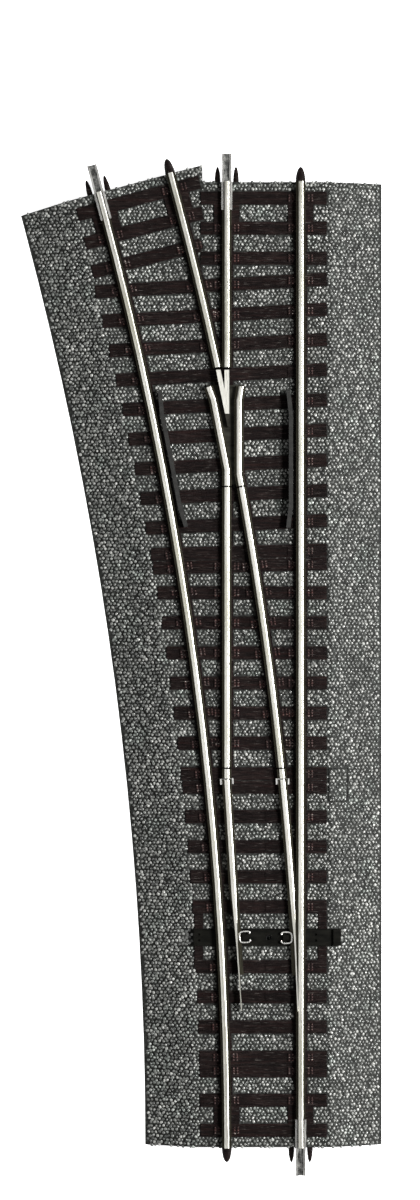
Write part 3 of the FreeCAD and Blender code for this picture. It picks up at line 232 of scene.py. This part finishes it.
def plastic_paint(name, dark, light, roughness, gloss=0.1):
    """A satin moulded plastic with faint flow marks and fine grain."""
    paint = Paint(name, Roughness=roughness, Specular_IOR_Level=gloss)
    flow = paint.noise(0.5, 3.0, paint.stretched((0.6, 1.8, 1.0)))
    grain = paint.noise(7.5, 4.0)
    paint.colour(paint.mix(paint.span(flow, 0.0, 1.0, 0.3, 0.7), dark, light))
    paint.rough(paint.span(grain, roughness - 0.1, roughness + 0.12, 0.3, 0.7))
    paint.bump(grain, 0.02, 0.35)
    return paint.material


def rail_paint(name, metal):
    """Drawn nickel silver: a bright head, polished by wear, over a web and foot that are dark with
    tarnish and with painted shade; the head's colour fades into that dark down the rounded edges of
    its crown as painted shade, and the foot's edge carries a pale painted highlight.
    """
    paint = Paint(name, Metallic=metal, Roughness=0.32)
    draw = paint.noise(2.2, 6.0, paint.stretched((6.0, 0.12, 6.0)))
    tarnish = paint.noise(0.05, 4.0)
    bright = paint.mix(paint.span(draw, 0.0, 1.0, 0.3, 0.7), (0.70, 0.685, 0.60), (0.92, 0.91, 0.85))
    head = paint.mix(paint.span(tarnish, 0.0, 0.7, 0.45, 0.65), bright, (0.52, 0.51, 0.40))
    # tarnish and painted shade: the web and foot are painted far darker than bare nickel silver
    dull = paint.mix(paint.span(draw, 0.0, 1.0, 0.3, 0.7), (0.030, 0.028, 0.020),
                     (0.085, 0.080, 0.058))
    # painted highlight: a pale band on the rounded edge of the foot
    edge_highlight = paint.mix(0.8, dull, (0.6, 0.59, 0.52))
    foot_edge = paint.level((6.2, 1.0), (6.44, 1.0), (6.5, 0.0), (7.0, 0.0))
    # painted shade: below the top of the crown the head's colour fades to the dark of the web
    head_top = paint.level((7.0, 0.0), (7.95, 0.05), (8.17, 0.6), (8.24, 1.0), (8.3, 1.0))
    paint.colour(paint.mix(head_top, paint.mix(foot_edge, dull, edge_highlight), head))
    paint.rough(paint.span(draw, 0.24, 0.42, 0.3, 0.7))
    paint.bump(draw, 0.004, 0.3)
    return paint.material


def sheet_paint(name, dark, light, floor=None):
    """Bright stamped sheet metal with roll marks and small scratches; given a floor colour, the
    channel up to the tops of its walls is painted dark with pale blotches, as painted shade in the
    folds.
    """
    paint = Paint(name, Metallic=1.0, Roughness=0.25)
    roll = paint.noise(1.6, 4.0, paint.stretched((2.0, 0.2, 2.0)))
    smear = paint.noise(0.8, 4.0)
    tone = paint.mix(paint.span(smear, 0.0, 1.0, 0.3, 0.7), dark, light)
    if floor:
        # painted shade: the floor of the channel, with pale blotches, up to the tops of the walls
        pale = tuple(min(1.0, 5.0 * part) for part in floor)
        dull = paint.mix(paint.span(smear, 0.0, 1.0, 0.42, 0.62), floor, pale)
        walls = paint.level((6.0, 0.0), (6.25, 0.0), (6.5, 1.0), (6.9, 1.0))
        tone = paint.mix(walls, dull, tone)
    paint.colour(tone)
    paint.rough(paint.span(roll, 0.16, 0.38, 0.3, 0.7))
    paint.bump(roll, 0.006, 0.25)
    return paint.material


PAINTS = {
    "ballast": bed_paint(),
    "sleeper_plastic": sleeper_paint("sleeper_wood_plastic", 1.0),
    "black_plastic": plastic_paint("throwbar_plastic", (0.0018, 0.0018, 0.0014),
                                   (0.0085, 0.0083, 0.0065), 0.45, 0.05),
    "frog_plastic": plastic_paint("frog_floor_plastic", (0.013, 0.0125, 0.009),
                                  (0.040, 0.039, 0.031), 0.5),
    "guard_plastic": plastic_paint("guard_rail_plastic", (0.007, 0.0068, 0.006),
                                   (0.019, 0.0185, 0.0165), 0.3, 0.45),
    "nickel_silver": rail_paint("nickel_silver", 1.0),
    # the third colour is the painted shade on the floor of the joiner's channel
    "spring_steel": sheet_paint("joiner_sheet", (0.74, 0.73, 0.69), (0.9, 0.89, 0.86),
                                (0.11, 0.11, 0.105)),
    "brass": sheet_paint("contact_brass", (0.62, 0.42, 0.16), (0.78, 0.57, 0.26)),
}
OWN_PAINTS = {
    "frog_point": rail_paint("frog_silver", 0.7),
    # painted shade: the slide plates get the sleeper plastic made darker
    "slide_plates": sleeper_paint("slide_plate_shaded_plastic", 0.8),
    "rail_gap_insulators": plastic_paint("insulator_plastic", (0.001, 0.001, 0.001),
                                         (0.003, 0.003, 0.003), 0.7, 0.02),
}
STONE_PAINT = stone_paint()
# painted highlight: the spike heads get the sleeper plastic made eight times lighter, for the light
# their small raised heads catch
SPIKE_HIGHLIGHT_PAINT = sleeper_paint("spike_lit_plastic", 8.0)
CLIP_PAINT = sheet_paint("drive_clip_wire", (0.80, 0.79, 0.74), (0.96, 0.95, 0.92))

# rounding of the edges in millimetres, by material slot and by node
EDGES = {"nickel_silver": 0.2, "sleeper_plastic": 0.08, "black_plastic": 0.12,
         "guard_plastic": 0.16, "spring_steel": 0.05, "brass": 0.04, "frog_plastic": 0.04,
         "ballast": 0.05}
OWN_EDGES = {"frog_point": 0.32, "frog_nose_ramp": 0.2, "guard_rail_left": 0.3,
             "guard_rail_right": 0.3, "rail_gap_insulators": 0.02}
NODE_EDGE_ANGLE = 35
CLIP_EDGE_ANGLE = 50


def soften(item, width_mm, segments, degrees):
    """Round the edges that are sharper than an angle."""
    bevel = item.modifiers.new("soft_edges", "BEVEL")
    bevel.width = width_mm * MM
    bevel.segments = segments
    bevel.limit_method = "ANGLE"
    bevel.angle_limit = math.radians(degrees)
    bevel.use_clamp_overlap = True


def dress_nodes():
    """Give every CAD node its finish and soften its edges."""
    for part in frame["record"]["subparts"]:
        node, slot = part["node"], part["material_slot"]
        item = NODES[node]
        item.data.materials.clear()
        item.data.materials.append(OWN_PAINTS.get(node, PAINTS[slot]))
        soften(item, OWN_EDGES.get(node, EDGES[slot]), 3 if slot == "nickel_silver" else 2,
               NODE_EDGE_ANGLE)


# ---------------------------------------------------------------- pieces

def node_middle(name):
    """The middle of a node's box."""
    low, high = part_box(name)
    return tuple((a + b) / 2 for a, b in zip(low, high))


def add_piece(name, vertices, faces, material, body="track", smooth=True):
    """A new mesh piece in metres that rides on a body."""
    mesh = bpy.data.meshes.new(name)
    mesh.from_pydata([tuple(v) for v in vertices], [], [tuple(f) for f in faces])
    mesh.validate()
    mesh.polygons.foreach_set("use_smooth", [smooth] * len(mesh.polygons))
    mesh.materials.append(material)
    piece = bpy.data.objects.new(name, mesh)
    bpy.context.scene.collection.objects.link(piece)
    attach(piece, body)
    return piece


def ring_faces(base, sides):
    """Quads between the ring of vertices that starts at base and the ring after it."""
    return [(base + side, base + (side + 1) % sides, base + sides + (side + 1) % sides,
             base + sides + side) for side in range(sides)]


def caster(*names):
    """A function that looks straight down on CAD nodes."""
    trees = {}
    for name in names:
        mesh = NODES[name].data
        corners = [vertex.co.copy() for vertex in mesh.vertices]
        sides = [tuple(face.vertices) for face in mesh.polygons]
        trees[name] = BVHTree.FromPolygons(corners, sides)
    above = 20 * MM
    down = Vector((0.0, 0.0, -1.0))

    def look(x, y):
        """The name, height and normal of what is on top at a place, in metres."""
        best = (None, -1.0, None)
        for name, tree in trees.items():
            place, normal = tree.ray_cast(Vector((x, y, above)), down)[:2]
            if place is not None and place.z > best[1]:
                best = (name, place.z, normal)
        return best

    return look


STONE_NODES = ("ballast_bed", "hatch_cover")
STONE_PITCH = 0.9 * MM
ROW_SHARE = 0.866  # rows of stones lie this share of the pitch apart
STONE_SHAKE = 0.2  # of the pitch, each way
SQUEEZED_RADIUS = 0.34 * MM  # of a stone beside a step or another node
STONE_REACH = 0.8  # of the radius, where a stone feels for its neighbours
STONE_PUSH = 0.7  # of that reach, when a neighbour pushes it away
STONE_STEP = 0.7 * MM  # lowest step that pushes a stone
LOWEST_STONE = 0.3 * MM
STEEPEST_GROUND = 0.5  # smallest upward part of the normal under a stone
BAR_END_ROOM, BAR_SIDE_ROOM = MM, 0.3 * MM  # around the throwbar's travel
FLAT_SHARE = 0.05  # height of the stones that the throwbar passes over
STONE_SIDES = 6
STONE_RINGS = ((1.04, -0.2), (0.96, 0.3), (0.62, 0.72))  # (reach, level) from the foot up
STONE_TOP = 0.88
STONE_BATCHES = 6


def stone_ground(look, x, y):
    """The node, height and normal where a stone may stand, or None."""
    name, z, normal = look(x, y)
    if name not in STONE_NODES or z < LOWEST_STONE or normal.z < STEEPEST_GROUND:
        return None
    return name, z, normal


def stone_room(look, name, x, y, z, radius):
    """How a stone is pushed by the steps and nodes around it, and the radius that fits."""
    reach = radius * STONE_REACH
    push = Vector((0.0, 0.0, 0.0))
    for dx, dy in ((reach, 0), (-reach, 0), (0, reach), (0, -reach)):
        other, other_z = look(x + dx, y + dy)[:2]
        if other is not None and (other != name or abs(other_z - z) > STONE_STEP):
            push -= Vector((dx, dy, 0.0)) * STONE_PUSH
            radius = min(radius, SQUEEZED_RADIUS)
    return push, radius


def throwbar_path():
    """Where the throwbar sweeps, with room around it: left, right, toe, heel and underside."""
    low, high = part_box("throwbar")
    travel = min(JOINTS["throwbar_slide"]["range_m"])
    return (low[0] + travel - BAR_END_ROOM, high[0] + BAR_END_ROOM,
            low[1] - BAR_SIDE_ROOM, high[1] + BAR_SIDE_ROOM, low[2])


def stone_share(path, x, y, z, radius):
    """The share of its full height that a stone keeps in the throwbar's path; 0 for no stone."""
    left, right, toe, heel, underside = path
    if not (left < x < right and toe < y < heel) or z + radius <= underside:
        return 1.0
    return 0.0 if z > underside else FLAT_SHARE


def stone_places(look):
    """Jittered places for stones as (node, centre, normal, radius, share of full height)."""
    draw = np.random.default_rng(SEED)
    low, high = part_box("ballast_bed")
    rows = int((high[1] - low[1]) / (STONE_PITCH * ROW_SHARE)) + 2
    columns = int((high[0] - low[0]) / STONE_PITCH) + 2
    shake = draw.uniform(-STONE_SHAKE, STONE_SHAKE, (rows, columns, 2)) * STONE_PITCH
    sizes = draw.normal(0.40, 0.04, (rows, columns)).clip(0.3, 0.5) * MM
    path = throwbar_path()
    places = []
    for row in range(rows):
        for column in range(columns):
            x = low[0] + (column + 0.5 * (row % 2)) * STONE_PITCH + shake[row, column, 0]
            y = low[1] + row * STONE_PITCH * ROW_SHARE + shake[row, column, 1]
            ground = stone_ground(look, x, y)
            if ground is None:
                continue
            name, z, normal = ground
            push, radius = stone_room(look, name, x, y, z, sizes[row, column])
            if push.length > 0.0:
                x, y = x + push.x, y + push.y
                ground = stone_ground(look, x, y)
                if ground is None:
                    continue
                name, z, normal = ground
            share = stone_share(path, x, y, z, radius)
            if share > 0.0:
                places.append((name, Vector((x, y, z)), normal, radius, share))
    return places


def stones_mesh(places, draw):
    """Vertices and faces of small domed stones, one island each."""
    vertices, faces = [], []
    for name, centre, normal, radius, share in places:
        up = normal.normalized()
        across = up.orthogonal().normalized()
        along = up.cross(across)
        spin = draw.uniform(0, 2 * math.pi)
        stretch = draw.uniform(0.88, 1.14)
        lean = draw.uniform(-0.25, 0.25, 2) * share
        height = radius * draw.uniform(0.8, 1.15) * share
        wobble = draw.uniform(0.88, 1.1, STONE_SIDES)
        first = len(vertices)
        for reach, level in STONE_RINGS:
            for side in range(STONE_SIDES):
                angle = spin + 2 * math.pi * side / STONE_SIDES
                u = math.cos(angle) * radius * reach * wobble[side] * stretch
                v = math.sin(angle) * radius * reach * wobble[side] / stretch
                tilt = (u * lean[0] + v * lean[1]) if level > 0 else 0.0
                vertices.append(centre + across * u + along * v + up * (level * height + tilt))
        vertices.append(centre + up * height * STONE_TOP)
        top = len(vertices) - 1
        upper = top - STONE_SIDES
        for base in range(first, upper, STONE_SIDES):
            faces.extend(ring_faces(base, STONE_SIDES))
        for side in range(STONE_SIDES):
            faces.append((upper + side, upper + (side + 1) % STONE_SIDES, top))
        faces.append(tuple(first + side for side in reversed(range(STONE_SIDES))))
    return vertices, faces


def ballast_stones():
    """Thousands of small stones on the bed and the hatch, in stretches along the track."""
    look = caster("ballast_bed", "sleeper_frame", "hatch_cover", "throwbar", "frog_floor_plate",
                  "rail_chairs")
    places = stone_places(look)
    draw = np.random.default_rng(SEED + 1)
    on_bed = [place for place in places if place[0] == "ballast_bed"]
    on_hatch = [place for place in places if place[0] == "hatch_cover"]
    on_bed.sort(key=lambda place: place[1].y)
    ends = [len(on_bed) * index // STONE_BATCHES for index in range(STONE_BATCHES + 1)]
    for index, (start, end) in enumerate(zip(ends, ends[1:])):
        vertices, faces = stones_mesh(on_bed[start:end], draw)
        add_piece(f"ballast_stones_{index + 1}", vertices, faces, STONE_PAINT)
    vertices, faces = stones_mesh(on_hatch, draw)
    add_piece("hatch_stones", vertices, faces, STONE_PAINT)


def islands(name):
    """The separate solids of a CAD node as arrays of corners."""
    mesh = NODES[name].data
    weld = 0.001 * MM
    first_at = {}
    parent = [first_at.setdefault(tuple(round(part / weld) for part in vertex.co), vertex.index)
              for vertex in mesh.vertices]

    def root(index):
        """The vertex that stands for the whole solid."""
        while parent[index] != index:
            parent[index] = parent[parent[index]]
            index = parent[index]
        return index

    for edge in mesh.edges:
        parent[root(edge.vertices[0])] = root(edge.vertices[1])
    found = {}
    for vertex in mesh.vertices:
        found.setdefault(root(vertex.index), []).append(tuple(vertex.co))
    return [np.array(corners) for corners in found.values()]


CLIP_RISE = 0.1 * MM  # a chair that stands higher than this over the plates is a rail clip
RAIL_RISE = 0.5 * MM  # anything this high beside a clip is a rail
RAIL_PROBE = 1.0 * MM
SPIKE_OUTS = (0.47 * MM, 1.3 * MM)  # the two rows, from the middle of the clip
SPIKE_STEPS = (-0.62 * MM, 0.0, 0.62 * MM)
SPIKE_LEVEL_ERROR = 0.02 * MM
SPIKE_RINGS = ((0.17, -0.02), (0.17, 0.08), (0.09, 0.15))  # (half width, height) in millimetres
SPIKE_LENGTH = 1.25  # of its width
COORDINATE_DIGITS = 7


def spike(spot, across, along, ground):
    """Vertices of a small spike head with a tapered top, from the ground up."""
    corners = []
    for half, z in SPIKE_RINGS:
        for u, v in ((-half, -half), (half, -half), (half, half), (-half, half)):
            flat = spot + across * u * MM + along * v * SPIKE_LENGTH * MM
            corners.append((flat[0], flat[1], ground + z * MM))
    return corners


def chair_spikes():
    """Small spike heads in two rows on the tie plates, outside each rail clip."""
    look = caster("rail_chairs", "stock_rail_straight", "stock_rail_curved",
                  "closure_rail_straight", "closure_rail_curved", "heel_rail_straight",
                  "heel_rail_curved", "heel_stub_straight", "heel_stub_curved", "wing_rail_left",
                  "wing_rail_right", "frog_point", "guard_rail_left", "guard_rail_right")
    solids = islands("rail_chairs")
    plate_top = min(corners[:, 2].max() for corners in solids)
    vertices, faces = [], []
    for corners in solids:
        if corners[:, 2].max() < plate_top + CLIP_RISE:
            continue
        middle = corners.mean(axis=0)[:2]
        foot = corners[corners[:, 2] < plate_top + CLIP_RISE][:, :2]
        foot = np.unique(foot.round(COORDINATE_DIGITS), axis=0)
        reach = np.linalg.norm(foot - foot[0], axis=1)
        nearest = np.argsort(reach)[1]
        across = (foot[nearest] - foot[0]) / reach[nearest]
        along = np.array([-across[1], across[0]])
        if look(*(middle + across * RAIL_PROBE))[1] > plate_top + RAIL_RISE:
            across = -across
        for out in SPIKE_OUTS:
            for step in SPIKE_STEPS:
                spot = middle + across * out + along * step
                if abs(look(*spot)[1] - plate_top) > SPIKE_LEVEL_ERROR:
                    continue
                first = len(vertices)
                vertices.extend(spike(spot, across, along, plate_top))
                faces.extend(ring_faces(first, 4) + ring_faces(first + 4, 4))
                faces.append((first + 8, first + 9, first + 10, first + 11))
                faces.append((first + 3, first + 2, first + 1, first))
    add_piece("chair_spikes", vertices, faces, SPIKE_HIGHLIGHT_PAINT, smooth=False)


def smooth_path(points, steps=6):
    """A Catmull-Rom line through flat points."""
    points = [np.array(point) for point in points]
    points = [2 * points[0] - points[1]] + points + [2 * points[-1] - points[-2]]
    line = []
    for before, start, end, after in zip(points, points[1:], points[2:], points[3:]):
        for step in range(steps):
            t = step / steps
            line.append(0.5 * (2 * start + (end - before) * t
                               + (2 * before - 5 * start + 4 * end - after) * t ** 2
                               + (3 * start - before - 3 * end + after) * t ** 3))
    return line + [points[-2]]


# one arm of a drive clip in millimetres: (from the blade, from the middle), from the open end in
CLIP_ARM = ((3.13, 0.62), (3.16, 0.98), (2.85, 1.26), (2.2, 1.33), (1.45, 1.28), (0.9, 1.06),
            (0.7, 0.55))
CLIP_BACK = (0.68, 0.0)
CLIP_WIDTH = 0.36
CLIP_EDGE = 0.09
CLIP_GAP = 0.4 * MM  # between the blade's centreline and its clip


def drive_clip(name, node, body, centre, inward, turn, pivot):
    """A bright C-shaped spring strip on the blade foot, open towards the middle of the track."""
    points = [(u, -v) for u, v in CLIP_ARM] + [CLIP_BACK] + list(reversed(CLIP_ARM))
    line = smooth_path(points)
    low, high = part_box(node)
    vertices, faces = [], []
    spin = Matrix.Rotation(turn, 4, "Z")
    for index, point in enumerate(line):
        ahead = line[min(index + 1, len(line) - 1)] - line[max(index - 1, 0)]
        side = np.array([-ahead[1], ahead[0]]) / np.linalg.norm(ahead) * CLIP_WIDTH / 2
        for offset, z in ((side, low[2]), (-side, low[2]), (-side, high[2]), (side, high[2])):
            u, v = point + offset
            spot = Vector((centre[0] + inward * u * MM, centre[1] + v * MM, z))
            vertices.append(pivot + spin @ (spot - pivot))
    last = 4 * (len(line) - 1)
    for base in range(0, last, 4):
        faces.extend(ring_faces(base, 4))
    faces.append((3, 2, 1, 0))
    faces.append((last, last + 1, last + 2, last + 3))
    piece = add_piece(name, vertices, faces, CLIP_PAINT, body, smooth=False)
    soften(piece, CLIP_EDGE, 2, CLIP_EDGE_ANGLE)
    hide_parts(node)


def drive_clips():
    """The two clips; the left one is turned with the open left blade."""
    hinge = JOINTS["straight_blade_hinge"]
    bar_y = node_middle("throwbar")[1]
    pivot = Vector(hinge["pos_m"])
    turn = math.radians(abs(min(hinge["range_deg"])))
    left = (pivot.x, bar_y)
    right = (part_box("drive_clip_curved")[1][0] + CLIP_GAP, bar_y)
    drive_clip("drive_strip_straight", "drive_clip_straight", "straight_blade", left, 1, turn, pivot)
    drive_clip("drive_strip_curved", "drive_clip_curved", "curved_blade", right, -1, 0.0, pivot)


# ---------------------------------------------------------------- light and camera

AIM = (-0.012, 0.12, 0.0)  # what the lights point at
LIGHTS = (  # name, place, size in metres, power in watts
    ("key_light", (0.68, 0.2, 0.9), (0.22, 0.22), 17.0),
    ("side_light", (1.0, 0.15, 0.46), (0.36, 0.36), 9.0),
    ("top_light", (0.09, 0.12, 1.3), (0.26, 0.75), 0.8),
    ("fill_light", (-0.9, 0.0, 0.5), (0.4, 0.4), 0.9),
)
WORLD_LIGHT = 0.11
FLOOR_SIZE = 6.0
FLOOR_DROP = 0.0001
FLOOR_PLACE = (0.0, 0.13)
FLOOR_GLOW = 0.9  # washes out the shadows on the white floor
GLOW_START, GLOW_FULL = 0.02, 0.03  # no glow near the throwbar, where it would show in its hole
LENS, SENSOR = 135.0, 36.0
CAMERA_PLACE = (-12.8 * MM, 130.4 * MM, 1078.0 * MM)


def add_area(name, place, size, power):
    """A soft area light that points at the middle of the turnout."""
    data = bpy.data.lights.new(name, "AREA")
    data.shape = "RECTANGLE"
    data.size, data.size_y = size
    data.energy = power
    light = bpy.data.objects.new(name, data)
    bpy.context.scene.collection.objects.link(light)
    light.location = place
    light.rotation_euler = (Vector(AIM) - Vector(place)).to_track_quat("-Z", "Y").to_euler()


def floor_paper():
    """White paper with a soft glow, none of it under the throwbar."""
    material = bpy.data.materials.new("floor_paper")
    material.use_nodes = True
    tree = material.node_tree
    shader = tree.nodes["Principled BSDF"]
    shader.inputs["Base Color"].default_value = (0.95, 0.95, 0.95, 1.0)
    shader.inputs["Roughness"].default_value = 0.9
    shader.inputs["Emission Color"].default_value = (1.0, 1.0, 1.0, 1.0)
    apart = tree.nodes.new("ShaderNodeVectorMath")
    apart.operation = "DISTANCE"
    apart.inputs[1].default_value = node_middle("throwbar")
    tree.links.new(tree.nodes.new("ShaderNodeNewGeometry").outputs["Position"], apart.inputs[0])
    glow = tree.nodes.new("ShaderNodeMapRange")
    for name, number in (("From Min", GLOW_START), ("From Max", GLOW_FULL), ("To Max", FLOOR_GLOW)):
        glow.inputs[name].default_value = number
    tree.links.new(apart.outputs["Value"], glow.inputs["Value"])
    tree.links.new(glow.outputs["Result"], shader.inputs["Emission Strength"])
    return material


def studio():
    """A white floor, a dim surrounding, two lights on the right, a strip above and a weak fill."""
    bpy.context.scene.view_settings.view_transform = "Standard"
    world = bpy.data.worlds.new("studio")
    bpy.context.scene.world = world
    world.use_nodes = True
    background = world.node_tree.nodes["Background"]
    background.inputs["Color"].default_value = (1.0, 1.0, 1.0, 1.0)
    background.inputs["Strength"].default_value = WORLD_LIGHT
    bpy.ops.mesh.primitive_plane_add(size=FLOOR_SIZE, location=(*FLOOR_PLACE, -FLOOR_DROP))
    floor = bpy.context.object
    floor.name = "floor"
    floor.data.materials.append(floor_paper())
    for light in LIGHTS:
        add_area(*light)


def camera():
    """Straight down over the middle of the turnout, with a long lens."""
    data = bpy.data.cameras.new("camera")
    data.sensor_fit = "VERTICAL"
    data.sensor_height = SENSOR
    data.lens = LENS
    view = bpy.data.objects.new("camera", data)
    bpy.context.scene.collection.objects.link(view)
    view.location = CAMERA_PLACE
    view.rotation_euler = (0.0, 0.0, 0.0)
    bpy.context.scene.camera = view


dress_nodes()
ballast_stones()
chair_spikes()
drive_clips()
studio()
camera()
